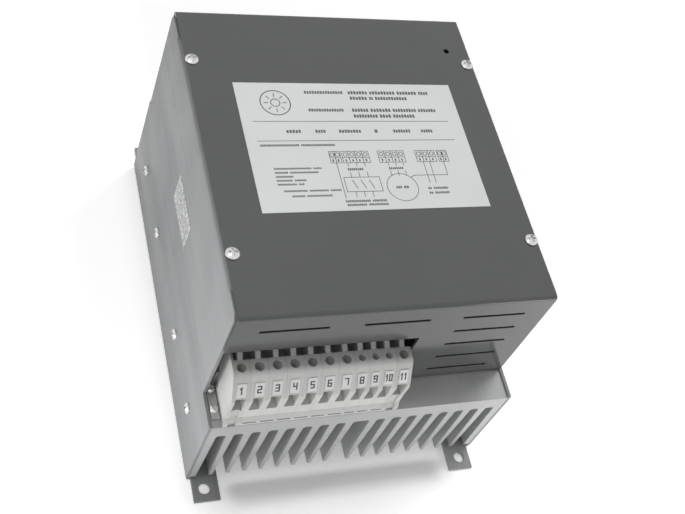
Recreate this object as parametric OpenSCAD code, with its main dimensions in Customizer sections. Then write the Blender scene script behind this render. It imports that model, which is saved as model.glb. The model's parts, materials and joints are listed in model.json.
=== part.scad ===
// Motor speed controller for panel mounting, lying on its back: folded steel side plates
// carry an extruded finned heatsink, a folded cover and a row of rail terminals.
// X runs across, the terminal end faces -Y, Z rises from the mounting plane to the cover.

/* [Body] */
// Width over the two side plates
body_w = 150; // [146:1:170]
// Length of the heatsink and of the side plates
sink_l = 183.4; // [180:0.2:220]
// Length of heatsink left open in front of the cover
step_l = 15.4; // [14:0.2:18]
// Height of the case over the heatsink's flat face
case_h = 69; // [66:0.5:80]

/* [Heatsink] */
// Thickness of the heatsink's base
base_t = 9; // [8:0.5:14]
// Height of the fins
fin_h = 44.5; // [40:0.5:60]
// Room between the fin tips and the mounting plane
fin_clear = 3; // [2.8:0.1:8]
// Thickness of a fin at its root
fin_root = 3.6; // [3:0.1:4.2]
// Thickness of a fin at its tip
fin_tip = 1.7; // [1:0.1:2.2]
// Width of a gap between two fins at the root
fin_gap = 4.6; // [4:0.1:6]
// Width of the gap in the middle
mid_gap = 8.2; // [6:0.1:12]
// Rounding at the bottom of each gap
root_r = 1.6; // [0.8:0.1:1.9]

/* [Sheet metal] */
// Thickness of the side plates
plate_t = 1.5; // [1:0.1:2]
// Thickness of the cover
cover_t = 1.2; // [0.8:0.1:1.5]
// Inner radius of the bends
bend_r = 0.8; // [0.5:0.1:1.1]
// Width of the side plates' back flanges
back_flange_w = 15; // [14:0.5:18]
// Width of the side plates' front flanges
front_flange_w = 10; // [8:0.5:11]
// Setback of a front flange from the cover's blank end
flange_back = 16.5; // [8:0.5:24]
// Setback of a front flange from the cover's terminal end
flange_fore = 14.5; // [8:0.5:24]
// How much of a side plate's bend shows beside the cover
bend_show = 0.9; // [0.6:0.1:1.2]
// Reach of each mounting lug past the side plate
lug_l = 12; // [11:0.5:16]
// Diameter of the mounting holes
lug_hole_d = 5.4; // [4:0.1:6]
// Mounting hole from the outer face of the side plate
lug_hole_in = 8; // [7:0.5:9]
// Mounting hole from the end of the lug
lug_hole_end = 6.2; // [5:0.1:7]

/* [Cover] */
// Length of a vent slot
slot_l = 31; // [20:1:34]
// Width of a vent slot
slot_w = 1.6; // [1:0.1:2.5]
// Distance between two rows of vent slots
slot_pitch = 12.15; // [8:0.05:12.4]
// Width of the opening over the terminals, from the cover's left edge
notch_w = 89.9; // [89.5:0.1:92]
// Depth from the cover's front to the opening over the terminals
notch_z = 28.3; // [26:0.1:31]
// Diameter of the hole over the trimmer
peep_d = 3; // [2:0.1:5]
// Trimmer from the right side of the body
trimmer_x = 12.7; // [12.5:0.1:16]
// Trimmer from the cover's blank end
trimmer_y = 21.9; // [21:0.1:25]
// Cover screw from the outer face of the side plate
lid_screw_x = 4; // [3.8:0.1:5]
// Cover screw from either end of the cover
lid_screw_y = 31; // [26:0.5:40]

/* [Screws] */
// Head diameter of the cover screws
lid_head_d = 6.2; // [5:0.1:7.4]
// Head diameter of the side screws
side_head_d = 5.6; // [5:0.1:8]
// Height of the side screws over the mounting plane
side_screw_z = 28.5; // [15:0.5:40]

/* [Terminals] */
// Pitch of the wide terminals
wide_pitch = 8; // [7.8:0.1:8.2]
// Pitch of the narrow terminals
slim_pitch = 6.5; // [6.4:0.1:6.8]
// Height of the terminals over the heatsink
block_h = 32; // [31.5:0.5:36]
// Width of the rail under the terminals
rail_w = 15; // [13:0.5:16]
// Height of the rail under the terminals
rail_h = 5.5; // [4.5:0.1:6]

/* [Labels] */
// Width of the label on the cover
label_w = 110.6; // [60:1:130]
// Length of the label on the cover
label_l = 73; // [40:0.5:100]
// Label from the left side of the body
label_x = 20.8; // [12:0.2:26]
// Label from the cover's blank end
label_y = 44.4; // [36:0.2:60]
// Length of the label on the left side plate
side_label_l = 30; // [20:0.2:50]
// Width of the label on the left side plate
side_label_w = 18; // [10:0.5:24]

/* [Electronics] */
// Length of a thyristor module
module_l = 92; // [80:1:96]
// Width of a thyristor module
module_w = 20.5; // [18:0.5:24]
// Height of a thyristor module
module_h = 30; // [22:1:32]
// Height of the circuit board over the heatsink
board_z = 42; // [39:0.5:43]

/* [Hidden] */
$fn = 48;
eps = 0.01;

// Running and seating clearances
thread_fit = 0.05;
hole_fit = 0.2;
case_fit = 0.2;
block_gap = 0.06;
cage_fit = 0.2;
bar_fit = 0.1;
touch_fit = 0.3;

// Main levels and ends
ledge_z = fin_clear + fin_h + base_t;
front_z = ledge_z + case_h;
cover_z = front_z - cover_t;
half_w = body_w / 2;
half_l = sink_l / 2;
sink_w = body_w - 2 * plate_t;
cover_y0 = -half_l + step_l;
cover_l = sink_l - step_l;
cover_w = body_w - 2 * bend_show;
outer_r = bend_r + plate_t;
plate_lip = 1;
web_top = cover_z;
web_y0 = cover_y0 + cover_t + case_fit;
web_y1 = half_l - cover_t - case_fit;

// Screws: shank, head height, thread length below the sheet
lid_d = 3;
lid_head_h = 2.2;
lid_grip = 8;
side_d = 4;
side_head_h = 2.2;
side_grip = 4.6;
side_screw_y = [-68.3, -29.3, 29.2, 68.2];
recess_w = 1.2;

// Labels
label_t = 0.15;
side_label_at = [68.6, 38];

// Vent slots: three columns, measured from the left side of the body
slot_x = [12.5, 59.5, 106.5];
slot_z0 = 12.2;
slot_rows = floor((case_h - slot_z0 - 4) / slot_pitch) + 1;

// Terminal row: 0 earth, 1 wide, 2 narrow
KINDS = [0, 1, 1, 1, 1, 1, 1, 2, 2, 2, 0];
row_x = 6;
function kind(i) = KINDS[i];
function pitch_of(i) = kind(i) == 2 ? slim_pitch : wide_pitch;
function left_x(i) = i == 0 ? row_x - half_w : left_x(i - 1) + pitch_of(i - 1);
function block_w(i) = pitch_of(i) - block_gap;
row_end = left_x(len(KINDS) - 1) + wide_pitch;

// Terminal section: p runs outward from the block's middle, h up from the heatsink
block_in = 24.9;
block_y = block_in - half_l;
foot_p = 23.4;
outer_foot_p = 24.7;
foot_rise = 2.9;
clamp_p = 12.5;
tower_p = 8.8;
valley_h = block_h - 8;
rib_w = 2.4;
rib_rise = 5.5;
end_wall = 1.2;
crown_r = 4;
tag_slope = 56;
tag_drop = 9.4;
tag_low = [21.85, block_h - tag_drop];
slope_over = 2.6;
slope_low = tag_low + slope_over * [cos(tag_slope), -sin(tag_slope)];
mouth_top = tag_low.y - 0.9;
tag_l = 6.6;
tag_w = [4.2, 4.2, 3.8];
tag_t = 0.8;
tag_sunk = 0.4;
foot_slot_h = 1.2;
foot_slot_z = 1.4;
foot_slot_l = 4;

// Clamp: bar, cage and screw by kind of terminal
bar_z = 16.5;
bar_t = 1.4;
bar_w = [3.5, 3.5, 2.6];
bar_p = clamp_p + 3.2;
cage_l = 7;
cage_side = 0.75;
cage_top = 1.6;
cage_floor = 0.8;
cage_w = [for (b = bar_w) b + 2 * bar_fit + 2 * cage_side];
mouth_h = 4.4;
cage_clear = mouth_h + bar_t + touch_fit;
cage_h = cage_top + cage_clear + cage_floor;
cage_travel = mouth_h - touch_fit;
cage_low = bar_z - mouth_h - cage_floor;
clamp_d = [3.5, 3.5, 2.5];
clamp_head_d = [3.9, 3.9, 2.8];
clamp_head_h = 2;
clamp_bore_d = [for (d = clamp_head_d) d + 0.4];
head_z = cage_low + cage_h + cage_travel + touch_fit;
funnel_w = [4.8, 4.8, 4.4];
wire_d = [2.8, 2.8, 2];

// Rail and its end stop
rail_t = 1;
rail_x0 = left_x(0) - 0.1;
rail_x1 = row_end + 1;
rail_channel = rail_w - 5;
rail_fit = 0.2;
rail_screw_d = 2.5;
rail_head_d = 4;
rail_head_h = 1.5;
rail_screw_l = 7;
stop_t = 1.2;
stop_gap = 0.3;
stop_screw_p = [6.2, 16.2];
stop_end = 4.8;
stop_inner_p = -2;
stop_tab = [6, 12];
stop_x0 = -half_w + plate_t + stop_gap;
stop_w = left_x(0) - stop_gap - stop_x0;
stop_x = stop_x0 + stop_w / 2;

// Wires from the inner clamps: room of one wire beside the next
wire_step = 3.2;
wire_out = 2.5;
wire_y0 = block_y + foot_p + wire_out;

// Electronics between the wires and the blank end
module_pitch = 34;
module_x = [for (k = [-1 : 1]) k * module_pitch];
module_gap = 2.4;
module_end = 3;
module_y0 = wire_y0 + 2 * wire_step + module_gap;
module_y1 = half_l - cover_t - module_end;
module_y = (module_y0 + module_y1) / 2;
module_ear = 6;
module_ear_l = 12;
bolt_inset = 6;
module_bolt = module_l / 2 - bolt_inset;
module_bolt_d = 5;
module_head_d = 8.5;
module_head_h = 3.5;
pad_pitch = 23;
pad_w = 12;
pad_h = 1.5;
trimmer = [half_w - trimmer_x, half_l - trimmer_y];
trimmer_w = 9.5;
trimmer_h = 9;
rotor_d = 5.6;
rotor_h = 4;
board_t = 1.6;
board_rim = 3.7;
board_inset = 8;
board_w = 2 * (trimmer.x + board_rim);
board_gap = 11.1;
board_y0 = block_y + foot_p + board_gap;
board_y1 = half_l - board_inset;
board_l = board_y1 - board_y0;
board_top = ledge_z + board_z + board_t;
pillar_rim = [7, 4];
pillar_x = board_w / 2 - pillar_rim.x;
pillar_y = [board_y0 + pillar_rim.y, board_y1 - pillar_rim.y];
pillar_af = 5.5;
pillar_d = 3;
pillar_grip = 6;
lid_room = 2.2;
part_room = cover_z - board_top - lid_room;
core = [32, 27, part_room];
core_at = [12, 19];
cap = [10, 26, part_room - 3];
cap_pitch = 16;
cap_at = [19, 14.3];

// Levels of the wires over the heatsink, and where the thin ones rise to the board
wire_low = bar_z - wire_d[1] / 2 - thread_fit;
wire_high = module_h + pad_h + 2.2;
lead_in = 3;
lead_y = board_y0 + lead_in;

// Helpers

// Extrudes an outline drawn in Y and Z along X
module along_x(length) {
  rotate([90, 0, 90]) linear_extrude(length) children();
}

// Extrudes an outline drawn in X and Z along Y
module along_y(length) {
  translate([0, length, 0]) rotate([90, 0, 0]) linear_extrude(length) children();
}

function arc(centre, r, from, to, steps) =
  [for (k = [0 : steps]) let (a = from + (to - from) * k / steps)
    centre + r * [cos(a), sin(a)]];

// A bend of sheet: a quarter ring round the origin, in the first quadrant
module bend_2d(inner, thick) {
  intersection() {
    difference() {
      circle(inner + thick);
      circle(inner);
    }
    square(inner + thick);
  }
}

module cross_recess(size, depth) {
  for (turn = [0, 90]) rotate([0, 0, turn])
    translate([-size / 2, -recess_w / 2, -depth]) cube([size, recess_w, depth + 1]);
}

// A pan-head screw, its head standing on Z = 0 and its shank pointing down
module pan_screw(head_d, head_h, d, grip) {
  rim = 0.35 * head_h;
  dome = head_h - rim;
  dome_r = (pow(head_d / 2, 2) + dome * dome) / (2 * dome);
  difference() {
    union() {
      cylinder(h = rim, d = head_d);
      translate([0, 0, rim]) intersection() {
        translate([0, 0, dome - dome_r]) sphere(dome_r);
        cylinder(h = dome, d = head_d);
      }
    }
    translate([0, 0, head_h]) cross_recess(0.62 * head_d, 0.6 * head_h);
  }
  translate([0, 0, -grip]) cylinder(h = grip + eps, d = d);
}

// Heatsink

module fin_gap_2d(width) {
  spread = fin_root - fin_tip;
  straight = fin_h - root_r;
  polygon([[-width / 2, straight], [width / 2, straight],
    [(width + spread) / 2, -eps], [-(width + spread) / 2, -eps]]);
  translate([-width / 2 + root_r, straight - eps]) square([width - 2 * root_r, root_r + eps]);
  for (side = [-1, 1]) translate([side * (width / 2 - root_r), straight]) circle(root_r);
}

module heatsink() {
  first = mid_gap / 2 + fin_root + fin_gap / 2;
  pitch = fin_root + fin_gap;
  side_gaps = floor((sink_w / 2 - first - fin_gap / 2 - 2.4) / pitch);
  color("darkgray") difference() {
    translate([0, -half_l, fin_clear]) along_y(sink_l) difference() {
      translate([-sink_w / 2, 0]) square([sink_w, fin_h + base_t]);
      fin_gap_2d(mid_gap);
      for (side = [-1, 1], k = [0 : side_gaps])
        translate([side * (first + k * pitch), 0]) fin_gap_2d(fin_gap);
    }
    for (side = [-1, 1], y = side_screw_y)
      translate([side * sink_w / 2, y, side_screw_z]) rotate([0, side * -90, 0])
        translate([0, 0, -1]) cylinder(h = side_grip + 1, r = side_d / 2 + thread_fit);
    for (x = module_x, end = [-1, 1])
      ledge_hole(x, module_y + end * module_bolt, module_bolt_d, base_t - 1);
    for (x = [-pillar_x, pillar_x], y = pillar_y) ledge_hole(x, y, pillar_d, pillar_grip);
    rail_screw_places() translate([0, 0, -rail_screw_l])
      cylinder(h = rail_screw_l + 1, r = rail_screw_d / 2 + thread_fit);
  }
}

module ledge_hole(x, y, d, depth) {
  translate([x, y, ledge_z - depth]) cylinder(h = depth + 1, r = d / 2 + thread_fit);
}

// Side plates: the web, the two flanges folded inward and the lugs at both ends

module web_2d() {
  foot = outer_r - eps;
  polygon([[-half_l, foot], [half_l, foot], [half_l, ledge_z + plate_lip],
    [web_y1, ledge_z + plate_lip], [web_y1, web_top - outer_r],
    [web_y0, web_top - outer_r], [web_y0, ledge_z + plate_lip],
    [-half_l, ledge_z + plate_lip]]);
}

module plate_corner_2d(y, dir) {
  reach = y + dir * 3;
  polygon([[y, web_top - outer_r - eps], [y, web_top - 2.2], [y + dir * 2.2, web_top],
    [reach, web_top], [reach, web_top - outer_r - eps]]);
}

// A side plate drawn for the left side, outer face at X = 0
module side_plate() {
  flange_y0 = cover_y0 + flange_fore;
  flange_y1 = half_l - flange_back;
  difference() {
    union() {
      along_x(plate_t) web_2d();
      along_x(plate_t) {
        plate_corner_2d(web_y0, 1);
        plate_corner_2d(web_y1, -1);
        translate([web_y0 + 3 - eps, web_top - outer_r - eps])
          square([flange_y0 - web_y0 - 3 + eps, outer_r + eps]);
        translate([flange_y1, web_top - outer_r - eps])
          square([web_y1 - 3 - flange_y1 + eps, outer_r + eps]);
      }
      translate([0, flange_y0, 0]) along_y(flange_y1 - flange_y0) {
        translate([outer_r, web_top - outer_r]) mirror([1, 0]) bend_2d(bend_r, plate_t);
        translate([outer_r - eps, web_top - plate_t])
          square([front_flange_w - outer_r + eps, plate_t]);
      }
      translate([0, -half_l, 0]) along_y(sink_l)
        translate([outer_r, outer_r]) rotate(180) bend_2d(bend_r, plate_t);
      translate([outer_r - eps, -half_l - lug_l, 0])
        cube([back_flange_w - outer_r + eps, sink_l + 2 * lug_l, plate_t]);
    }
    for (end = [-1, 1]) translate([lug_hole_in, end * (half_l + lug_l - lug_hole_end), -1])
      cylinder(h = plate_t + 2, d = lug_hole_d);
    for (y = side_screw_y) translate([-1, y, side_screw_z]) rotate([0, 90, 0])
      cylinder(h = plate_t + 2, r = side_d / 2 + hole_fit);
    for (y = lid_screw_places()) translate([lid_screw_x, y, web_top - plate_t - 1])
      cylinder(h = plate_t + 2, r = lid_d / 2 + thread_fit);
  }
}

module left_side_plate() {
  color("silver") translate([-half_w, 0, 0]) side_plate();
}

module right_side_plate() {
  color("silver") mirror([1, 0, 0]) translate([-half_w, 0, 0]) side_plate();
}

// Cover

function lid_screw_places() = [cover_y0 + lid_screw_y, half_l - lid_screw_y];

module cover_section_2d() {
  r = bend_r + cover_t;
  drop = case_h - plate_lip - case_fit;
  translate([r, -cover_t]) square([cover_l - 2 * r, cover_t]);
  translate([r + eps, -r]) rotate(90) bend_2d(bend_r, cover_t);
  translate([cover_l - r - eps, -r]) bend_2d(bend_r, cover_t);
  for (y = [0, cover_l - cover_t]) translate([y, -drop]) square([cover_t, drop - r + eps]);
}

module cover() {
  color("dimgray") difference() {
    translate([-cover_w / 2, cover_y0, front_z]) along_x(cover_w) cover_section_2d();
    for (column = [0 : 2]) {
      over_notch = slot_x[column] < notch_w;
      vent_slots(column, cover_y0, over_notch ? 1 : slot_rows);
      vent_slots(column, half_l - cover_t, slot_rows);
    }
    translate([-half_w - 1, cover_y0 - 1, ledge_z - 1])
      cube([notch_w + bend_show + 1, cover_t + 2, case_h - notch_z + 1]);
    for (x = [-1, 1], y = lid_screw_places())
      translate([x * (half_w - lid_screw_x), y, cover_z - 1])
        cylinder(h = cover_t + 2, r = lid_d / 2 + hole_fit);
    translate([trimmer.x, trimmer.y, cover_z - 1]) cylinder(h = cover_t + 2, d = peep_d);
  }
}

module vent_slots(column, y, rows) {
  for (row = [0 : rows - 1])
    translate([slot_x[column] - half_w, y - 1,
      front_z - slot_z0 - row * slot_pitch - slot_w / 2])
      cube([slot_l, cover_t + 2, slot_w]);
}

module cover_screws() {
  color("silver") for (side = [-1, 1], y = lid_screw_places())
    translate([side * (half_w - lid_screw_x), y, front_z])
      pan_screw(lid_head_d, lid_head_h, lid_d, lid_grip);
}

module side_screws() {
  color("silver") for (side = [-1, 1], y = side_screw_y)
    translate([side * half_w, y, side_screw_z]) rotate([0, side * 90, 0])
      pan_screw(side_head_d, side_head_h, side_d, plate_t + side_grip - 0.4);
}

module front_label() {
  color("lightgray") translate([label_x - half_w, half_l - label_y - label_l, front_z])
    cube([label_w, label_l, label_t]);
}

module side_label() {
  color("gainsboro")
    translate([-half_w - label_t, half_l - side_label_at.x - side_label_l,
      front_z - side_label_at.y - side_label_w])
      cube([label_t, side_label_l, side_label_w]);
}

// Terminal row

// Places children at terminal i, with Y running outward from the block's middle
module at_block(i) {
  translate([left_x(i) + block_gap / 2, block_y, ledge_z]) mirror([0, 1, 0]) children();
}

module both_ends() {
  children();
  mirror([0, 1, 0]) children();
}

function block_side(foot) =
  let (
    run = (block_h - tag_low.y) / tan(tag_slope),
    corner = [tag_low.x - run, block_h],
    cut = crown_r * tan(tag_slope / 2)
  )
  concat(
    [[tower_p, valley_h], [tower_p, block_h]],
    arc([corner.x - cut, block_h - crown_r], crown_r, 90, 90 - tag_slope, 6),
    [slope_low, [23.1, 13], [23.3, 5.5],
      [foot, foot_rise], [foot, 0], [0, 0], [0, valley_h]]
  );

// The trapped rail: its own section with clearance
module rail_room_2d() {
  translate([-rail_channel / 2 - rail_fit, -1])
    square([rail_channel + 2 * rail_fit, rail_h + 1]);
  translate([-rail_w / 2 - rail_fit, rail_h - rail_t - rail_fit])
    square([rail_w + 2 * rail_fit, rail_t + 2 * rail_fit]);
}

module mouth_2d() {
  polygon([[clamp_p, bar_z - mouth_h], [18, bar_z - mouth_h], [outer_foot_p, 11.6],
    [outer_foot_p, mouth_top], [20.4, mouth_top], [18, bar_z], [clamp_p, bar_z]]);
}

module clamp_room(i) {
  k = kind(i);
  w = block_w(i);
  room = cage_w[k] + 2 * cage_fit;
  translate([w / 2, clamp_p, head_z]) cylinder(h = block_h, d = clamp_bore_d[k]);
  translate([(w - room) / 2, clamp_p - cage_l / 2 - cage_fit, cage_low - cage_fit])
    cube([room, cage_l + 2 * cage_fit, head_z - cage_low + cage_fit + eps]);
  translate([(w - funnel_w[k]) / 2, 0, 0]) along_x(funnel_w[k]) mouth_2d();
}

module tag_place(i, thick, sunk, grow) {
  k = kind(i);
  translate([block_w(i) / 2, tag_low.x, tag_low.y]) rotate([-tag_slope, 0, 0])
    translate([-tag_w[k] / 2 - grow, -tag_l - grow, -sunk])
      cube([tag_w[k] + 2 * grow, tag_l + 2 * grow, thick]);
}

module terminal(i) {
  k = kind(i);
  w = block_w(i);
  color(k == 0 ? "darkseagreen" : "lightgray") at_block(i) difference() {
    union() {
      along_x(w) polygon(block_side(outer_foot_p));
      mirror([0, 1, 0]) along_x(w) polygon(block_side(foot_p));
      valley_rib(w);
      if (i == 0) valley_end();
    }
    both_ends() clamp_room(i);
    translate([(w - bar_w[k]) / 2 - bar_fit, -clamp_p, bar_z - bar_fit])
      cube([bar_w[k] + 2 * bar_fit, 2 * clamp_p, bar_t + 2 * bar_fit]);
    translate([-1, 0, 0]) along_x(w + 2) rail_room_2d();
    tag_place(i, tag_t + 5, tag_sunk, thread_fit);
    if (k == 0) earth_channel(w);
    if (k != 0) translate([0.7, outer_foot_p - foot_slot_l, foot_slot_z])
      cube([w - 1.4, foot_slot_l + 1, foot_slot_h]);
  }
}

// The first terminal's valley is closed by a wall at its outer end
module valley_end() {
  translate([0, -tower_p - eps, valley_h - eps])
    cube([end_wall, 2 * (tower_p + eps), block_h - valley_h + eps]);
}

// A rib across the valley, rising from both towers to the middle
module valley_rib(w) {
  reach = tower_p + eps;
  translate([(w - rib_w) / 2, 0, 0]) along_x(rib_w) polygon([[-reach, valley_h - eps],
    [-reach, block_h], [0, block_h + rib_rise], [reach, block_h], [reach, valley_h - eps]]);
}

// The earth terminals have a sunk channel down the middle of the outer end
module earth_channel(w) {
  width = 3.6;
  depth = 0.9;
  translate([(w - width) / 2, 0, 0]) along_x(width) polygon([
    [24.2, mouth_top], [23.4, 13], [23.6, 5.5], [outer_foot_p + 0.1, foot_rise],
    [outer_foot_p + 1, -1], [outer_foot_p - depth, -1], [outer_foot_p - depth, foot_rise],
    [23.6 - depth, 5.5], [23.4 - depth, 13],
    [22 - depth, mouth_top]]);
}

// Clamp screw: slotted head in the bore, tip on the current bar
module clamp_screw(i) {
  k = kind(i);
  color("gainsboro") at_block(i) clamp_screw_solid(k, block_w(i));
}

module clamp_screw_solid(k, w) {
  tip = bar_z + bar_t + bar_fit;
  translate([w / 2, clamp_p, 0]) difference() {
    union() {
      translate([0, 0, tip]) cylinder(h = head_z + thread_fit - tip + eps, d = clamp_d[k]);
      translate([0, 0, head_z + thread_fit]) cylinder(h = clamp_head_h, d = clamp_head_d[k]);
    }
    translate([-clamp_head_d[k], -0.35, head_z + clamp_head_h - 0.9])
      cube([2 * clamp_head_d[k], 0.7, 2]);
  }
}

// Clamp cage: a steel frame round the bar, threaded on the screw
module clamp_cage(i) {
  color("lightsteelblue") at_block(i) cage_solid(kind(i), block_w(i), 0);
}

module cage_solid(k, w, lift) {
  translate([w / 2, clamp_p, cage_low + lift]) difference() {
    translate([-cage_w[k] / 2, -cage_l / 2, 0]) cube([cage_w[k], cage_l, cage_h]);
    translate([-cage_w[k] / 2 + cage_side, -cage_l / 2 - 1, cage_floor])
      cube([cage_w[k] - 2 * cage_side, cage_l + 2, cage_clear]);
    cylinder(h = cage_h + 1, r = clamp_d[k] / 2 + thread_fit);
  }
}

module marker_tags() {
  color("whitesmoke") for (i = [0 : len(KINDS) - 1]) at_block(i)
    tag_place(i, tag_t, tag_sunk, 0);
}

module current_bars() {
  color("goldenrod") for (i = [0 : len(KINDS) - 1]) at_block(i)
    translate([(block_w(i) - bar_w[kind(i)]) / 2, -bar_p, bar_z])
      cube([bar_w[kind(i)], 2 * bar_p, bar_t]);
}

// The inner clamps are tightened on the unit's own wires
module inner_clamp_screws() {
  color("gainsboro") for (i = [0 : len(KINDS) - 1]) at_block(i) mirror([0, 1, 0])
    clamp_screw_solid(kind(i), block_w(i));
}

module inner_clamp_cages() {
  color("lightsteelblue") for (i = [0 : len(KINDS) - 1]) at_block(i) mirror([0, 1, 0])
    cage_solid(kind(i), block_w(i), mouth_h - wire_d[kind(i)] - 2 * thread_fit);
}

// Rail under the terminals, its end stop and the screws of both

module rail_2d() {
  square([rail_channel, rail_t], center = false);
  for (x = [0, rail_channel - rail_t]) translate([x, 0]) square([rail_t, rail_h]);
  for (x = [-(rail_w - rail_channel) / 2, rail_channel - rail_t])
    translate([x, rail_h - rail_t])
      square([(rail_w - rail_channel) / 2 + rail_t, rail_t]);
}

module terminal_rail() {
  color("silver") difference() {
    translate([rail_x0, block_y - rail_channel / 2, ledge_z])
      along_x(rail_x1 - rail_x0) rail_2d();
    for (x = rail_screw_x()) translate([x, block_y, ledge_z - 1])
      cylinder(h = rail_t + 2, r = rail_screw_d / 2 + hole_fit);
  }
}

function rail_screw_x() = [left_x(1), left_x(len(KINDS) - 1)];

module rail_screw_places() {
  for (x = rail_screw_x()) translate([x, block_y, ledge_z]) children();
  for (p = stop_screw_p) translate([stop_x, block_y - p, ledge_z]) children();
}

module rail_screws() {
  color("gainsboro") {
    for (x = rail_screw_x()) translate([x, block_y, ledge_z + rail_t]) rail_screw();
    for (p = stop_screw_p) translate([stop_x, block_y - p, ledge_z + stop_t]) rail_screw();
  }
}

module rail_screw() {
  pan_screw(rail_head_d, rail_head_h, rail_screw_d, rail_screw_l - stop_t - touch_fit);
}

// A folded strip beside terminal 1, screwed to the heatsink, that stops the row
module rail_end_stop() {
  outer_p = stop_screw_p[1] + stop_end;
  color("silver") difference() {
    union() {
      translate([stop_x0, block_y - outer_p, ledge_z])
        cube([stop_w, outer_p - stop_inner_p, stop_t]);
      translate([stop_x0 + stop_w - stop_t, block_y - stop_inner_p - stop_tab.x, ledge_z])
        cube([stop_t, stop_tab.x, stop_tab.y]);
    }
    for (p = stop_screw_p) translate([stop_x, block_y - p, ledge_z - 1])
      cylinder(h = stop_t + 2, r = rail_screw_d / 2 + hole_fit);
  }
}

// Electronics inside the case

module thyristor_module(n) {
  color("darkslategray") translate([module_x[n], module_y, ledge_z]) difference() {
    union() {
      translate([-module_w / 2, -module_l / 2, 0]) cube([module_w, module_l, module_ear]);
      translate([-module_w / 2, -module_l / 2 + module_ear_l, 0])
        cube([module_w, module_l - 2 * module_ear_l, module_h]);
      for (k = [-1 : 1]) translate([-pad_w / 2, k * pad_pitch - pad_w / 2, module_h - eps])
        cube([pad_w, pad_w, pad_h + eps]);
    }
    for (end = [-1, 1]) translate([0, end * module_bolt, -1])
      cylinder(h = module_ear + 2, r = module_bolt_d / 2 + hole_fit);
  }
}

module module_screws() {
  color("silver") for (x = module_x, end = [-1, 1])
    translate([x, module_y + end * module_bolt, ledge_z + module_ear])
      pan_screw(module_head_d, module_head_h, module_bolt_d, module_ear + base_t - 2);
}

module board_corner_places() {
  for (x = [-pillar_x, pillar_x], y = pillar_y) translate([x, y, ledge_z]) children();
}

// Board with its processor, driver, plug row and relay, placed from the board's corner
module circuit_board() {
  parts = [[88, 44, 9, 26, 4], [104, 40, 18, 18, 3], [48, 3, 30, 8, 9], [88, 80, 12, 8, 5]];
  color("darkgreen") difference() {
    translate([-board_w / 2, board_y0, ledge_z + board_z]) union() {
      cube([board_w, board_l, board_t]);
      for (b = parts) translate([b[0], b[1], board_t - eps]) cube([b[2], b[3], b[4]]);
    }
    board_corner_places() translate([0, 0, board_z - 1])
      cylinder(h = board_t + 2, r = pillar_d / 2 + hole_fit);
  }
}

module board_pillars() {
  color("gold") board_corner_places() difference() {
    union() {
      cylinder(h = board_z, d = pillar_af / cos(30), $fn = 6);
      translate([0, 0, touch_fit - pillar_grip]) cylinder(h = pillar_grip, d = pillar_d);
    }
    translate([0, 0, board_z - 8]) cylinder(h = 9, r = pillar_d / 2 + thread_fit);
  }
}

module board_screws() {
  color("silver") board_corner_places() translate([0, 0, board_z + board_t])
    pan_screw(5.6, 2, pillar_d, board_t + 5);
}

// Board transformer: laminated core round a moulded bobbin
module transformer() {
  yoke = 4;
  cheek = 5;
  color("dimgray")
    translate([core_at.x - board_w / 2, board_y1 - core_at.y - core.y, board_top]) {
      translate([0, yoke, 2]) cube([core.x, core.y - 2 * yoke, core.z - 2]);
      translate([cheek, 0, 0]) cube([core.x - 2 * cheek, core.y, core.z - 4]);
    }
}

module snubber_capacitors() {
  color("khaki") for (k = [0 : 2])
    translate([cap_at.x - board_w / 2 + k * cap_pitch, board_y0 + cap_at.y, board_top])
      cube(cap);
}

module trimmer_body() {
  color("steelblue") translate([trimmer.x, trimmer.y, board_top]) difference() {
    translate([-trimmer_w / 2, -trimmer_w / 2, 0]) cube([trimmer_w, trimmer_w, trimmer_h]);
    translate([0, 0, trimmer_h - rotor_h + 1])
      cylinder(h = rotor_h, r = rotor_d / 2 + bar_fit);
  }
}

module trimmer_rotor() {
  color("white") translate([trimmer.x, trimmer.y, board_top + trimmer_h - rotor_h + 1])
    translate([0, 0, thread_fit]) difference() {
      cylinder(h = rotor_h, d = rotor_d);
      translate([-rotor_d, -0.4, rotor_h - 1.2]) cube([2 * rotor_d, 0.8, 2]);
    }
}

// Wires from the inner clamps: six to the modules, three to the board

module stretch(a, b, d) {
  v = b - a;
  turn = v.x != 0 ? [0, 90, 0] : v.y != 0 ? [-90, 0, 0] : [0, 0, 0];
  start = v.x + v.y + v.z > 0 ? a : b;
  translate(start) rotate(turn) cylinder(h = norm(v), d = d, $fn = 24);
}

module wire(points, d) {
  for (n = [0 : len(points) - 2]) stretch(points[n], points[n + 1], d);
  for (n = [1 : len(points) - 2]) translate(points[n]) sphere(d = d, $fn = 24);
}

module wiring() {
  color("darkslateblue") {
    // The three wires from the left cross above the next three, to the far pads
    for (i = [1 : 6]) {
      far = i <= 3 ? 1 : 0;
      x = left_x(i) + wide_pitch / 2;
      target = module_x[(i - 1) % 3];
      y = wire_y0 + wire_step * (2 - (i - 1) % 3);
      pad_y = module_y - (1 - far) * pad_pitch;
      low = ledge_z + wire_low;
      over = ledge_z + wire_high + far * wire_step;
      wire([[x, block_y + clamp_p, low], [x, y, low], [x, y, over], [target, y, over],
        [target, pad_y, over], [target, pad_y, ledge_z + module_h + pad_h]], wire_d[1]);
    }
    for (i = [7 : 9]) {
      x = left_x(i) + slim_pitch / 2;
      z = ledge_z + bar_z - wire_d[2] / 2 - thread_fit;
      wire([[x, block_y + clamp_p, z], [x, lead_y, z], [x, lead_y, ledge_z + board_z]],
        wire_d[2]);
    }
  }
}

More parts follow.
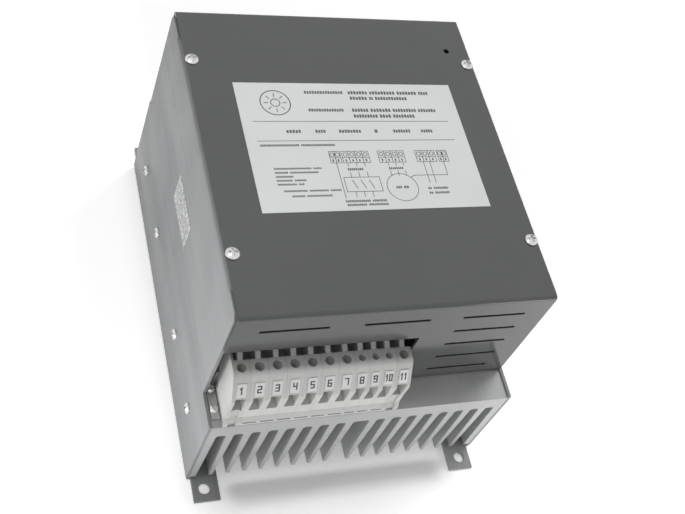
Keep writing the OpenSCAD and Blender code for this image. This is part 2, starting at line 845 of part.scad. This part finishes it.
heatsink();
left_side_plate();
right_side_plate();
cover();
cover_screws();
side_screws();
front_label();
side_label();
terminal_rail();
rail_screws();
rail_end_stop();
for (i = [0 : len(KINDS) - 1]) {
  terminal(i);
  clamp_screw(i);
  clamp_cage(i);
}
marker_tags();
current_bars();
inner_clamp_screws();
inner_clamp_cages();
for (n = [0 : 2])
  thyristor_module(n);
module_screws();
circuit_board();
board_pillars();
board_screws();
transformer();
snubber_capacitors();
trimmer_body();
trimmer_rotor();
wiring();
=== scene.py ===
"""Looks of the motor speed controller: materials, label print, tag figures, light and camera."""

import json
import math

import bmesh
import bpy
from mathutils import Matrix, Vector

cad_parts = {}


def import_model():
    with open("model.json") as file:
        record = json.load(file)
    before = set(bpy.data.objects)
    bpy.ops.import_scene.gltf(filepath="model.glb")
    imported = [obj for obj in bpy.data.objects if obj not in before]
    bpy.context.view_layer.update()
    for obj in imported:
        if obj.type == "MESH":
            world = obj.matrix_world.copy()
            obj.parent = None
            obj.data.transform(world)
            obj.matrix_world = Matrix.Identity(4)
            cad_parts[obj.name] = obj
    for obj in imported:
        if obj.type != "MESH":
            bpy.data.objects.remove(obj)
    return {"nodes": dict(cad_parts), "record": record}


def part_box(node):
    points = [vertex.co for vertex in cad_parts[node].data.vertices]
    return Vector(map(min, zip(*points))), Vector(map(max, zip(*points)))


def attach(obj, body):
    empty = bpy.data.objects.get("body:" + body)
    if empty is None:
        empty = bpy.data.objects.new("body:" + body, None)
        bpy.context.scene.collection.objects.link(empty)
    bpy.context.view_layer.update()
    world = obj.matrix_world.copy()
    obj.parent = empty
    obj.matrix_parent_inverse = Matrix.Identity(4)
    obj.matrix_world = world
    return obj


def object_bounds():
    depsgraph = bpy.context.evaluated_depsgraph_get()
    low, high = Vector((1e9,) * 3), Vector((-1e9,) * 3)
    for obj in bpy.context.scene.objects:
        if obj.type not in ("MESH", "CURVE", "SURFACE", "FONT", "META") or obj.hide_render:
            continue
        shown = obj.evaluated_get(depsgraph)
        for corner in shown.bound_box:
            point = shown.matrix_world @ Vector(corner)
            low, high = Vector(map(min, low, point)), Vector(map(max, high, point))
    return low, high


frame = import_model()
cad_low, cad_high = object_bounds()
NODES = frame["nodes"]
MM = 0.001

# Camera at the photograph's viewpoint, solved from the body's edges. Its place and nearest
# distance are in metres, lens and sensor in millimetres
CAMERA_AT = (-0.20651, -0.29726, 0.53349)
CAMERA_RIGHT = (0.91976, -0.24332, 0.30797)
CAMERA_UP = (0.02161, 0.81486, 0.57925)
CAMERA_LENS = 62.63
CAMERA_SENSOR = 36
CAMERA_SHIFT = (-0.0589, -0.1034)
CAMERA_NEAR = 0.01

FLOOR_GREY = 0.9
FLOOR_SIZE = 6
FLOOR_DROP = 0.2 * MM

# Painted light on the floor, a white glow that only seen rays meet and that lightens the part's
# shadows: its strength in the shadow line and away from it
FLOOR_PAINTED_LIGHT = (0.1, 0.6)
# Half length of the shadow line at the fins' terminal end, and its place inside the footprint
SHADE_HALF = 48 * MM
SHADE_INSET = 4 * MM
# Distances from the line over which the painted light returns; it does so sooner under the part
SHADE_FADE = (2 * MM, 12 * MM)
SHADE_INWARD = 2
# Share of the painted light from the footprint's left edge rightwards, and where that sets in
PAINTED_LIGHT_SHARE = 0.45
PAINTED_LIGHT_SHARE_FADE = (-12 * MM, 25 * MM)

# Light of the surroundings, from the dark to the bright side, and their white where seen
WORLD_LEVEL = (0.09, 0.55)
WORLD_BRIGHT_SIDE = (0.545, 0.839, 0)
WORLD_SEEN = 1.05

# Name, azimuth and elevation in degrees, distance and size in metres, level
LAMPS = [
    ("key", 33, 65, 1.8, 0.45, 0.48),
    ("left_top", 195, 55, 0.5, 0.2, 0.12),
    ("left_near", 207, -13, 0.24, 0.06, 0.24),
    ("front", 246, -1, 0.4, 0.1, 0.1),
    ("right_near", -40, -3, 0.25, 0.06, 0.1),
    ("right_front", -55, -2, 0.32, 0.08, 0.1),
]


# Helpers


class Nodes:
    """A node tree, emptied, with small helpers."""

    def __init__(self, tree):
        self.tree = tree
        tree.nodes.clear()

    def add(self, kind, **settings):
        node = self.tree.nodes.new(kind)
        for key, value in settings.items():
            setattr(node, key, value)
        return node

    def link(self, start, end):
        self.tree.links.new(start, end)

    def feed(self, socket, value):
        """Link a socket to another one, or give it a value."""
        if isinstance(value, bpy.types.NodeSocket):
            self.link(value, socket)
        else:
            socket.default_value = value

    def calculate(self, operation, first, second=0):
        node = self.add("ShaderNodeMath", operation=operation)
        self.feed(node.inputs[0], first)
        self.feed(node.inputs[1], second)
        return node.outputs["Value"]

    def ranged(self, value, low, high, start=0.3, end=0.7, **settings):
        """Bring a value from start to end, or from noise's usual range, to low to high."""
        node = self.add("ShaderNodeMapRange", **settings)
        node.inputs["From Min"].default_value = start
        node.inputs["From Max"].default_value = end
        node.inputs["To Min"].default_value = low
        node.inputs["To Max"].default_value = high
        self.link(value, node.inputs["Value"])
        return node.outputs["Result"]

    def seen_rays(self):
        """One where the camera sees a place itself, or in a glossy or clear surface."""
        rays = self.add("ShaderNodeLightPath").outputs
        value = rays["Is Camera Ray"]
        for kind in ("Is Glossy Ray", "Is Transmission Ray"):
            value = self.calculate("MAXIMUM", value, rays[kind])
        return value

    def choose(self, plain, seen):
        """One shader for seen rays and a plain one for all others."""
        node = self.add("ShaderNodeMixShader")
        self.link(self.seen_rays(), node.inputs["Fac"])
        self.link(plain, node.inputs[1])
        self.link(seen, node.inputs[2])
        return node.outputs["Shader"]


def placed(name, data):
    """A new object in the scene."""
    item = bpy.data.objects.new(name, data)
    bpy.context.scene.collection.objects.link(item)
    return item


def meshed(name, mesh):
    """A new object in the scene from a bmesh, which is freed."""
    data = bpy.data.meshes.new(name)
    mesh.to_mesh(data)
    mesh.free()
    return placed(name, data)


# Materials


class Shader(Nodes):
    """A Principled material with small helpers for object-space textures."""

    def __init__(self, name):
        self.material = bpy.data.materials.new(name)
        self.material.use_nodes = True
        super().__init__(self.material.node_tree)
        output = self.add("ShaderNodeOutputMaterial")
        self.bsdf = self.add("ShaderNodeBsdfPrincipled")
        self.link(self.bsdf.outputs["BSDF"], output.inputs["Surface"])
        self.where = self.add("ShaderNodeTexCoord").outputs["Object"]

    def noise(self, scale, detail, stretch=(1, 1, 1)):
        """Noise over the object, scale in cells per metre."""
        mapping = self.add("ShaderNodeMapping")
        mapping.inputs["Scale"].default_value = [scale * s for s in stretch]
        self.link(self.where, mapping.inputs["Vector"])
        texture = self.add("ShaderNodeTexNoise")
        texture.inputs["Scale"].default_value = 1.0
        texture.inputs["Detail"].default_value = detail
        self.link(mapping.outputs["Vector"], texture.inputs["Vector"])
        return texture.outputs["Fac"]

    def mix(self, factor, first, second):
        node = self.add("ShaderNodeMix", data_type="RGBA")
        self.link(factor, node.inputs["Factor"])
        for socket, colour in ((node.inputs[6], first), (node.inputs[7], second)):
            linked = isinstance(colour, bpy.types.NodeSocket)
            self.feed(socket, colour if linked else (*colour, 1))
        return node.outputs[2]

    def surface(self, colour, rough, metallic=0.0, specular=0.5):
        for name, value in (("Base Color", colour), ("Roughness", rough),
                            ("Metallic", metallic), ("Specular IOR Level", specular)):
            self.feed(self.bsdf.inputs[name], value)

    def bump(self, height, depth, round_edges=0.0):
        """Relief of a depth in metres, over edges that look rounded to a radius."""
        node = self.add("ShaderNodeBump")
        node.inputs["Distance"].default_value = depth
        node.inputs["Strength"].default_value = 1.0
        self.link(height, node.inputs["Height"])
        if round_edges:
            edges = self.add("ShaderNodeBevel", samples=6)
            edges.inputs["Radius"].default_value = round_edges
            self.link(edges.outputs["Normal"], node.inputs["Normal"])
        self.link(node.outputs["Normal"], self.bsdf.inputs["Normal"])


# Cells of a mottled surface's roughness to each one of its colour
ROUGH_CELLS = 3.1


def shaded(colour, gain):
    return tuple(min(1.0, c * gain) for c in colour)


def mottled(name, colour, rough, metallic, cells, spread, rough_spread=0.05,
            grain=900, grain_depth=0.00002, edges=0.0, stretch=(1, 1, 1)):
    """A surface whose colour and roughness wander a little, with a fine grain."""
    s = Shader(name)
    blotches = s.ranged(s.noise(cells, 4, stretch), 0, 1)
    rough_noise = s.noise(cells * ROUGH_CELLS, 3, stretch)
    s.surface(s.mix(blotches, shaded(colour, 1 - spread), shaded(colour, 1 + spread)),
              s.ranged(rough_noise, rough - rough_spread, rough + rough_spread), metallic)
    s.bump(s.noise(grain, 2), grain_depth, edges)
    return s.material


def zinc_sheet():
    """Zinc plated sheet: soft clouds, faint rolling lines and broad lighter bands along the
    body, the bands partly its own streaks and partly painted sheen.
    """
    s = Shader("zinc_sheet")
    clouds = s.ranged(s.noise(16, 4), 0, 1)
    lines = s.ranged(s.noise(500, 2, (1, 0.02, 1)), 0, 1, 0.35, 0.65)
    base = s.mix(clouds, (0.19, 0.195, 0.2), (0.235, 0.24, 0.245))
    # Broad lighter bands along the body: partly the sheet's own streaks, partly painted sheen
    sheen_bands = s.ranged(s.noise(26, 1, (1, 0.14, 1)), 0, 0.5, 0.35, 0.7)
    streaked = s.mix(s.ranged(lines, 0, 0.25, 0, 1), base, (0.35, 0.355, 0.36))
    s.surface(s.mix(sheen_bands, streaked, (0.46, 0.465, 0.47)),
              s.ranged(s.noise(40, 4), 0.46, 0.58), metallic=0.3)
    s.bump(lines, 0.000004, 0.0003)
    return s.material


def cover_paint():
    """Satin paint: dark grey with a faint orange peel."""
    s = Shader("cover_paint")
    clouds = s.ranged(s.noise(22, 3), 0, 1)
    s.surface(s.mix(clouds, (0.09, 0.092, 0.094), (0.096, 0.098, 0.1)),
              s.ranged(s.noise(60, 2), 0.12, 0.145), specular=0.4)
    s.bump(s.noise(1500, 1), 0.0000015, 0.0004)
    return s.material


def extruded_aluminium():
    """Extruded aluminium: die lines along Y, slightly dull."""
    s = Shader("extruded_aluminium")
    lines = s.ranged(s.noise(900, 2, (1, 0.01, 1)), 0, 1, 0.3, 0.7)
    clouds = s.ranged(s.noise(30, 3), 0, 1)
    base = s.mix(clouds, (0.46, 0.465, 0.47), (0.52, 0.525, 0.53))
    s.surface(s.mix(s.ranged(lines, 0, 0.3, 0, 1), base, (0.56, 0.565, 0.57)),
              s.ranged(s.noise(70, 3), 0.4, 0.55), metallic=0.3)
    s.bump(lines, 0.000005, 0.0003)
    return s.material


def speckled_foil():
    """Thin foil whose metal shows in pale and grey specks."""
    s = Shader("speckled_foil")
    specks = s.ranged(s.noise(900, 2), 0, 1, 0.42, 0.58)
    s.surface(s.mix(specks, (0.3, 0.3, 0.305), (0.64, 0.645, 0.65)),
              s.ranged(s.noise(300, 2), 0.3, 0.55), metallic=0.4)
    s.bump(s.noise(1500, 2), 0.00003)
    return s.material


def label_face():
    """Matt printed foil: even pale grey, faint fibres."""
    s = Shader("label_face")
    clouds = s.ranged(s.noise(25, 3), 0, 1)
    s.surface(s.mix(clouds, (0.7, 0.71, 0.715), (0.74, 0.75, 0.755)),
              s.ranged(s.noise(200, 3), 0.45, 0.6))
    s.bump(s.noise(2500, 2), 0.000008)
    return s.material


# By material slot. For mottled: name, colour, roughness, metallic, cells per metre, spread
MATERIALS = {
    "heatsink": extruded_aluminium(),
    "plate": zinc_sheet(),
    "cover": cover_paint(),
    "screw": mottled("zinc_screw", (0.66, 0.66, 0.655), 0.28, 0.85, 400, 0.08, 0.06,
                     edges=0.0002),
    "label": label_face(),
    "foil": speckled_foil(),
    "rail": mottled("zinc_rail", (0.5, 0.5, 0.5), 0.35, 0.8, 120, 0.08, edges=0.0002),
    "block": mottled("terminal_plastic", (0.74, 0.74, 0.73), 0.42, 0.0, 90, 0.03,
                     grain=1600, grain_depth=0.000012, edges=0.0003),
    "earth_block": mottled("earth_plastic", (0.68, 0.68, 0.66), 0.42, 0.0, 90, 0.03,
                           grain=1600, grain_depth=0.000012, edges=0.0003),
    "clamp_screw": mottled("clamp_steel", (0.55, 0.55, 0.545), 0.32, 0.85, 400, 0.1,
                           edges=0.0002),
    "cage": mottled("cage_steel", (0.42, 0.42, 0.42), 0.35, 0.85, 300, 0.1, edges=0.0001),
    "tag": mottled("tag_plastic", (0.92, 0.92, 0.91), 0.45, 0.0, 200, 0.02,
                   grain=1800, grain_depth=0.000008, edges=0.0002),
    "bar": mottled("brass_bar", (0.6, 0.47, 0.24), 0.3, 0.9, 200, 0.08, edges=0.0001),
    "module": mottled("module_plastic", (0.035, 0.035, 0.037), 0.5, 0.0, 200, 0.12,
                      grain=1800, edges=0.0004),
    "board": mottled("board_lacquer", (0.035, 0.085, 0.05), 0.28, 0.0, 80, 0.15,
                     grain=1200, grain_depth=0.00001, edges=0.0001),
    "pillar": mottled("pillar_brass", (0.58, 0.47, 0.26), 0.3, 0.9, 200, 0.08, edges=0.0001),
    "core": mottled("core_varnish", (0.07, 0.062, 0.055), 0.4, 0.1, 700, 0.25, edges=0.0004,
                    stretch=(0.02, 1, 0.02)),
    "capacitor": mottled("capacitor_case", (0.36, 0.28, 0.1), 0.25, 0.0, 100, 0.06,
                         edges=0.0006),
    "trimmer": mottled("trimmer_case", (0.03, 0.06, 0.2), 0.3, 0.0, 200, 0.08, edges=0.0003),
    "rotor": mottled("rotor_plastic", (0.66, 0.66, 0.64), 0.4, 0.0, 200, 0.04, edges=0.0001),
    "wire": mottled("wire_sleeve", (0.022, 0.022, 0.024), 0.42, 0.0, 300, 0.2,
                    grain=2000, grain_depth=0.00001),
}
INK = mottled("ink", (0.1, 0.102, 0.105), 0.6, 0.0, 800, 0.2, 0.08, grain=3000,
              grain_depth=0.000004)
DARK_INK = mottled("dark_ink", (0.09, 0.09, 0.092), 0.55, 0.0, 800, 0.2, 0.08, grain=3000,
                   grain_depth=0.000004)

for row in frame["record"]["subparts"]:
    node = NODES[row["node"]]
    node.data.materials.clear()
    node.data.materials.append(MATERIALS[row["material_slot"]])


# Print on the label and figures on the tags, in millimetres

INK_THICK = 0.03

# Blocks in place of letters: their step and their tops over the middle, as shares of the
# row's height, the inked share of a step, and the space between words
BLOCK_STEP = 0.75
BLOCK_TALL, BLOCK_LOW = 0.5, 0.38
BLOCK_INKED = 0.72
WORD_SPACE = 0.9

# The label's places count from the body's left side and down from its blank end
BODY_WIDE = 150
BODY_BACK = 91.7

# Widths of the strokes
RULE, WIRE, SWITCH = 0.3, 0.28, 0.35

# The dial: radius, stroke and steps of its rings; number, ends and stroke of its spokes
DIAL_RINGS = ((7.2, 0.5, 48), (2.2, 0.4, 24))
DIAL_SPOKES, SPOKE_START, SPOKE_END, SPOKE_WIDE = 8, 3.6, 5.4, 0.4

# Rows of blocks: x, y, lengths, height
TITLE_ROWS = (
    (54.5, 49.9, (19.6,), 1.7),
    (76.5, 49.9, (10.2, 13.5, 10.6, 5.2), 1.9),
    (76.8, 53.3, (9.0, 2.2, 16.8), 1.9),
    (54.5, 60.6, (17.6,), 1.7),
    (76.2, 60.6, (8.5, 10.6, 12.4, 9.5), 1.9),
    (76.2, 64.1, (12.4, 6.0, 11.4), 1.9),
)
COLUMN_ROWS = (
    (41.0, 73.1, (7.2,), 1.8),
    (55.0, 73.1, (5.2,), 1.8),
    (66.6, 73.1, (11.2,), 1.8),
    (84.4, 73.1, (2.0,), 1.8),
    (94.0, 73.1, (9.0,), 1.8),
    (108.4, 73.1, (6.2,), 1.8),
    (26.9, 81.0, (18.6, 16.4), 1.2),
)
NOTE_ROWS = (
    (30.8, 94.0, (17.6, 4.0), 1.0),
    (30.8, 96.2, (6.2, 13.4), 1.0),
    (30.8, 98.4, (8.2,), 1.0),
    (30.8, 100.5, (7.4, 5.6), 1.0),
    (30.8, 102.6, (9.0, 2.6), 1.0),
    (33.0, 106.2, (11.0, 9.0, 5.2), 1.0),
    (36.2, 109.0, (6.0, 12.0), 1.0),
)
SUPPLY_ROWS = (
    (65.6, 94.9, (7.8,), 1.3),
    (60.5, 112.4, (12.0, 7.0), 1.2),
    (60.8, 114.4, (9.4, 9.6), 1.2),
)
MOTOR_ROWS = (
    (86.0, 94.7, (7.4,), 1.2),
    (86.8, 105.4, (3.0, 2.6), 1.4),
)
SIGNAL_ROWS = (
    (102.6, 106.3, (2.0, 7.4), 1.2),
    (102.6, 108.9, (2.0, 7.4), 1.2),
)

# Groups of terminals in the diagram: left, right, count; and their cells' heights
CELL_GROUPS = ((58.5, 63.8, 2), (64.6, 77.8, 4), (82.5, 95.6, 4), (101.5, 111.5, 3),
               (112.8, 117.8, 2))
CELL_TOP, CELL_LINE, CELL_BOTTOM = 84.75, 3.6, 91.25

# Figures on the tags: slope in degrees, width for one or two of them, height, stroke, gap
TAG_SLOPE = 56
TERMINALS = 11
FIGURE_WIDE = {1: 1.5, 2: 1.15}
FIGURE_HIGH, FIGURE_STROKE, FIGURE_GAP = 3.0, 0.6, 0.65

# Strokes of each figure. The one is drawn apart, with a flag of these shares of its size
SEGMENTS = {
    "0": "abcdef", "2": "abged", "3": "abgcd", "4": "fgbc", "5": "afgcd", "6": "afgedc",
    "7": "abc", "8": "abcdefg", "9": "abcdfg",
}
FLAG_WIDE, FLAG_HIGH = 0.35, 0.2


class Sheet:
    """Thin raised shapes drawn on a flat place, x right and y down, in millimetres."""

    def __init__(self, origin, right, down):
        self.origin = Vector(origin)
        self.right = Vector(right).normalized()
        self.down = Vector(down).normalized()
        self.out = self.down.cross(self.right).normalized()
        self.mesh = bmesh.new()

    def at(self, x, y, lift=0.0):
        return self.origin + MM * (x * self.right + y * self.down + lift * self.out)

    def area(self, points):
        """A closed prism over an outline."""
        low = [self.mesh.verts.new(self.at(x, y)) for x, y in points]
        high = [self.mesh.verts.new(self.at(x, y, INK_THICK)) for x, y in points]
        self.mesh.faces.new(high)
        self.mesh.faces.new(low[::-1])
        count = len(points)
        for k in range(count):
            n = (k + 1) % count
            self.mesh.faces.new((low[k], low[n], high[n], high[k]))

    def bar(self, x0, y0, x1, y1):
        self.area([(x0, y0), (x1, y0), (x1, y1), (x0, y1)])

    def line(self, x0, y0, x1, y1, width):
        along = Vector((x1 - x0, y1 - y0)).normalized() * (width / 2)
        side = Vector((-along.y, along.x))
        a, b = Vector((x0, y0)) - along, Vector((x1, y1)) + along
        self.area([tuple(a - side), tuple(b - side), tuple(b + side), tuple(a + side)])

    def path(self, points, width):
        for (x0, y0), (x1, y1) in zip(points, points[1:]):
            self.line(x0, y0, x1, y1, width)

    def leads(self, x, *spans):
        """Upright wires of the diagram, each from a top to a bottom."""
        for top, bottom in spans:
            self.line(x, top, x, bottom, WIRE)

    def ring(self, x, y, radius, width, steps):
        for k in range(steps):
            a, b = (2 * math.pi * n / steps for n in (k, k + 1))
            outer, inner = radius + width / 2, radius - width / 2
            self.area([(x + inner * math.cos(a), y + inner * math.sin(a)),
                       (x + outer * math.cos(a), y + outer * math.sin(a)),
                       (x + outer * math.cos(b), y + outer * math.sin(b)),
                       (x + inner * math.cos(b), y + inner * math.sin(b))])

    def words(self, x, y, lengths, high):
        """A row of plain small blocks in place of words, about a third of them lower."""
        for length in lengths:
            count = max(1, round(length / (BLOCK_STEP * high)))
            step = length / count
            for k in range(count):
                top = high * (BLOCK_TALL if (k * 7 + round(x + y)) % 3 else BLOCK_LOW)
                left = x + k * step
                self.bar(left, y - top, left + BLOCK_INKED * step, y + high / 2)
            x += length + WORD_SPACE

    def rows(self, table):
        for x, y, lengths, high in table:
            self.words(x, y, lengths, high)

    def finish(self, name, material, body="housing"):
        bmesh.ops.recalc_face_normals(self.mesh, faces=self.mesh.faces)
        piece = meshed(name, self.mesh)
        piece.data.materials.append(material)
        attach(piece, body)


def dial(sheet, x, y):
    """A plain ring with spokes in place of the photo's sign."""
    for ring in DIAL_RINGS:
        sheet.ring(x, y, *ring)
    for turn in range(DIAL_SPOKES):
        a = math.radians(360 / DIAL_SPOKES * turn)
        sheet.line(x + SPOKE_START * math.cos(a), y + SPOKE_START * math.sin(a),
                   x + SPOKE_END * math.cos(a), y + SPOKE_END * math.sin(a), SPOKE_WIDE)


def terminal_cells(sheet, x0, x1, count):
    """A group of terminals as the diagram shows them: cells with a ring in each."""
    step = (x1 - x0) / count
    y0, y1 = CELL_TOP, CELL_BOTTOM
    for k in range(count):
        left = x0 + k * step
        for a, b in (((left, y0), (left + step, y0)), ((left, y1), (left + step, y1)),
                     ((left, y0), (left, y1)), ((left + step, y0), (left + step, y1)),
                     ((left, y0 + CELL_LINE), (left + step, y0 + CELL_LINE))):
            sheet.line(*a, *b, WIRE)
        sheet.ring(left + step / 2, y0 + CELL_LINE / 2, 1.0, SWITCH, 14)
        sheet.words(left + step / 2 - 0.5, y0 + 5.1, (1.0,), 1.5)


def supply(sheet):
    """The diagram's supply: a box of three switches, with a lead beside it."""
    sheet.path([(62.5, 99.4), (62.5, 107.3), (79.8, 107.3), (79.8, 99.4), (62.5, 99.4)], RULE)
    for k in range(3):
        x = 66.4 + 4.1 * k
        sheet.leads(x, (91.3, 93.2), (96.4, 99.4))
        sheet.line(x, 101.0, x + 1.6, 105.6, SWITCH)
        sheet.leads(x, (107.3, 110.2))
    sheet.rows(SUPPLY_ROWS)
    sheet.path([(61.0, 91.3), (61.0, 110.6)], RULE)


def motor(sheet):
    """The diagram's motor: a ring under three leads, with its earth lead."""
    sheet.ring(90.0, 105.4, 7.6, RULE, 48)
    for k in range(3):
        sheet.leads(86.4 + 3.7 * k, (91.3, 93.2), (96.0, 98.9))
    sheet.rows(MOTOR_ROWS)
    sheet.path([(95.6, 100.0), (97.6, 98.9), (114.8, 98.9), (114.8, 91.3)], RULE)


def label_print():
    """The front label's sign, rows of blocks and wiring diagram."""
    label_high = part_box("front_label")[1]
    left = cad_low.x + (cad_high.x - cad_low.x - BODY_WIDE * MM) / 2
    sheet = Sheet((left, BODY_BACK * MM, label_high.z), (1, 0, 0), (0, -1, 0))
    dial(sheet, 39.1, 56.3)
    sheet.rows(TITLE_ROWS)
    for y in (67.25, 78.5):
        sheet.line(26.3, y, 124.4, y, RULE)
    sheet.rows(COLUMN_ROWS)
    for group in CELL_GROUPS:
        terminal_cells(sheet, *group)
    sheet.rows(NOTE_ROWS)
    supply(sheet)
    motor(sheet)
    for x in (104.4, 107.6):
        sheet.leads(x, (91.3, 103.2))
    sheet.rows(SIGNAL_ROWS)
    sheet.finish("label_print", INK)


def digit(sheet, text, x, y, wide, high, width):
    """A plain figure of straight strokes, centred on x and y."""
    left, right, top, low = x - wide / 2, x + wide / 2, y - high / 2, y + high / 2
    if text == "1":
        sheet.path([(x - wide * FLAG_WIDE, top + high * FLAG_HIGH), (x, top), (x, low)], width)
        return
    strokes = {"a": (left, top, right, top), "b": (right, top, right, y),
               "c": (right, y, right, low), "d": (left, low, right, low),
               "e": (left, y, left, low), "f": (left, top, left, y), "g": (left, y, right, y)}
    for key in SEGMENTS[text]:
        sheet.line(*strokes[key], width)


def tag_figures():
    """A number on the sloped face of each tag, over the middle of its terminal."""
    slope = math.radians(TAG_SLOPE)
    down = Vector((0, -math.cos(slope), -math.sin(slope)))
    out = Vector((0, -math.sin(slope), math.cos(slope)))
    points = [v.co for v in NODES["marker_tags"].data.vertices]
    edge = max(p.dot(out) for p in points)
    middle = sum(p.dot(down) for p in points) / len(points)
    sheet = Sheet(out * edge + down * middle, (1, 0, 0), down)
    for n in range(1, TERMINALS + 1):
        low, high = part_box(f"terminal_{n}")
        centre = (low.x + high.x) / 2 / MM
        text = str(n)
        wide = FIGURE_WIDE[len(text)]
        for k, letter in enumerate(text):
            x = centre + (k - (len(text) - 1) / 2) * (wide + FIGURE_GAP)
            digit(sheet, letter, x, 0, wide, FIGURE_HIGH, FIGURE_STROKE)
    sheet.finish("tag_figures", DARK_INK)


label_print()
tag_figures()


# Light, floor and camera


def floor_haze(n):
    """Strength of the painted light on the floor: least in the shadow line, less from the left
    edge.
    """
    split = n.add("ShaderNodeSeparateXYZ")
    n.link(n.add("ShaderNodeTexCoord").outputs["Object"], split.inputs["Vector"])
    along = n.calculate("SUBTRACT", n.calculate("ABSOLUTE", split.outputs["X"]), SHADE_HALF)
    along = n.calculate("MAXIMUM", along, 0)
    across = n.calculate("SUBTRACT", split.outputs["Y"], cad_low.y + SHADE_INSET)
    inward = n.calculate("MULTIPLY", n.calculate("MAXIMUM", across, 0), SHADE_INWARD)
    outward = n.calculate("MINIMUM", across, 0)
    across = n.calculate("ADD", inward, outward)
    spread = n.calculate("SQRT", n.calculate("ADD", n.calculate("POWER", along, 2),
                                             n.calculate("MULTIPLY", across, across)))
    fade = n.ranged(spread, *FLOOR_PAINTED_LIGHT, *SHADE_FADE, interpolation_type="SMOOTHSTEP")
    start, end = (cad_low.x + offset for offset in PAINTED_LIGHT_SHARE_FADE)
    share = n.ranged(split.outputs["X"], 1, PAINTED_LIGHT_SHARE, start, end,
                     interpolation_type="SMOOTHSTEP")
    return n.calculate("MULTIPLY", fade, share)


def floor():
    """A pale floor that takes the shadows, with painted light where it is seen that lightens
    them, least along the shadow line.
    """
    mesh = bmesh.new()
    bmesh.ops.create_grid(mesh, x_segments=8, y_segments=8, size=FLOOR_SIZE)
    piece = meshed("floor", mesh)
    piece.location.z = cad_low.z - FLOOR_DROP
    material = bpy.data.materials.new("floor_white")
    material.use_nodes = True
    n = Nodes(material.node_tree)
    output = n.add("ShaderNodeOutputMaterial")
    plain = n.add("ShaderNodeBsdfDiffuse")
    plain.inputs["Color"].default_value = (FLOOR_GREY, FLOOR_GREY, FLOOR_GREY, 1)
    # Painted light: a white glow only seen rays meet, lightening the floor's shadows
    painted_light = n.add("ShaderNodeEmission")
    n.link(floor_haze(n), painted_light.inputs["Strength"])
    both = n.add("ShaderNodeAddShader")
    n.link(plain.outputs["BSDF"], both.inputs[0])
    n.link(painted_light.outputs["Emission"], both.inputs[1])
    n.link(n.choose(plain.outputs["BSDF"], both.outputs["Shader"]), output.inputs["Surface"])
    piece.data.materials.append(material)


def world():
    """White where it is seen, and for the light brighter on one side."""
    place = bpy.data.worlds.new("studio")
    bpy.context.scene.world = place
    place.use_nodes = True
    n = Nodes(place.node_tree)
    output = n.add("ShaderNodeOutputWorld")
    light, seen = n.add("ShaderNodeBackground"), n.add("ShaderNodeBackground")
    along = n.add("ShaderNodeVectorMath", operation="DOT_PRODUCT")
    n.feed(along.inputs[0], n.add("ShaderNodeTexCoord").outputs["Generated"])
    n.feed(along.inputs[1], WORLD_BRIGHT_SIDE)
    n.feed(light.inputs["Strength"], n.ranged(along.outputs["Value"], *WORLD_LEVEL, -1, 1))
    n.feed(seen.inputs["Strength"], WORLD_SEEN)
    for node in (light, seen):
        node.inputs["Color"].default_value = (1, 1, 1, 1)
    n.link(n.choose(light.outputs["Background"], seen.outputs["Background"]),
           output.inputs["Surface"])


def lamp(name, azimuth, elevation, distance, size, level):
    """A soft square light at the part; level is its share on a surface facing it."""
    target = (cad_low + cad_high) / 2
    a, e = math.radians(azimuth), math.radians(elevation)
    direction = Vector((math.cos(e) * math.cos(a), math.cos(e) * math.sin(a), math.sin(e)))
    data = bpy.data.lights.new(name, "AREA")
    data.shape = "SQUARE"
    data.size = size
    data.energy = level * (math.pi * distance) ** 2
    item = placed(name, data)
    item.location = target + direction * distance
    item.rotation_euler = direction.to_track_quat("Z", "Y").to_euler()
    item.visible_camera = False
    # Seen in the cover's bend, the key would draw a bright line that the photo doesn't show
    item.visible_glossy = name != "key"


def camera():
    """The photograph's camera."""
    data = bpy.data.cameras.new("photo_camera")
    data.lens = CAMERA_LENS
    data.sensor_width = CAMERA_SENSOR
    data.shift_x, data.shift_y = CAMERA_SHIFT
    data.clip_start = CAMERA_NEAR
    right, up = Vector(CAMERA_RIGHT).normalized(), Vector(CAMERA_UP).normalized()
    back = right.cross(up).normalized()
    turn = Matrix((right, up, back)).transposed().to_4x4()
    item = placed("photo_camera", data)
    item.matrix_world = Matrix.Translation(CAMERA_AT) @ turn
    bpy.context.scene.camera = item


world()
floor()
for row in LAMPS:
    lamp(*row)
camera()
bpy.context.scene.view_settings.view_transform = "Standard"
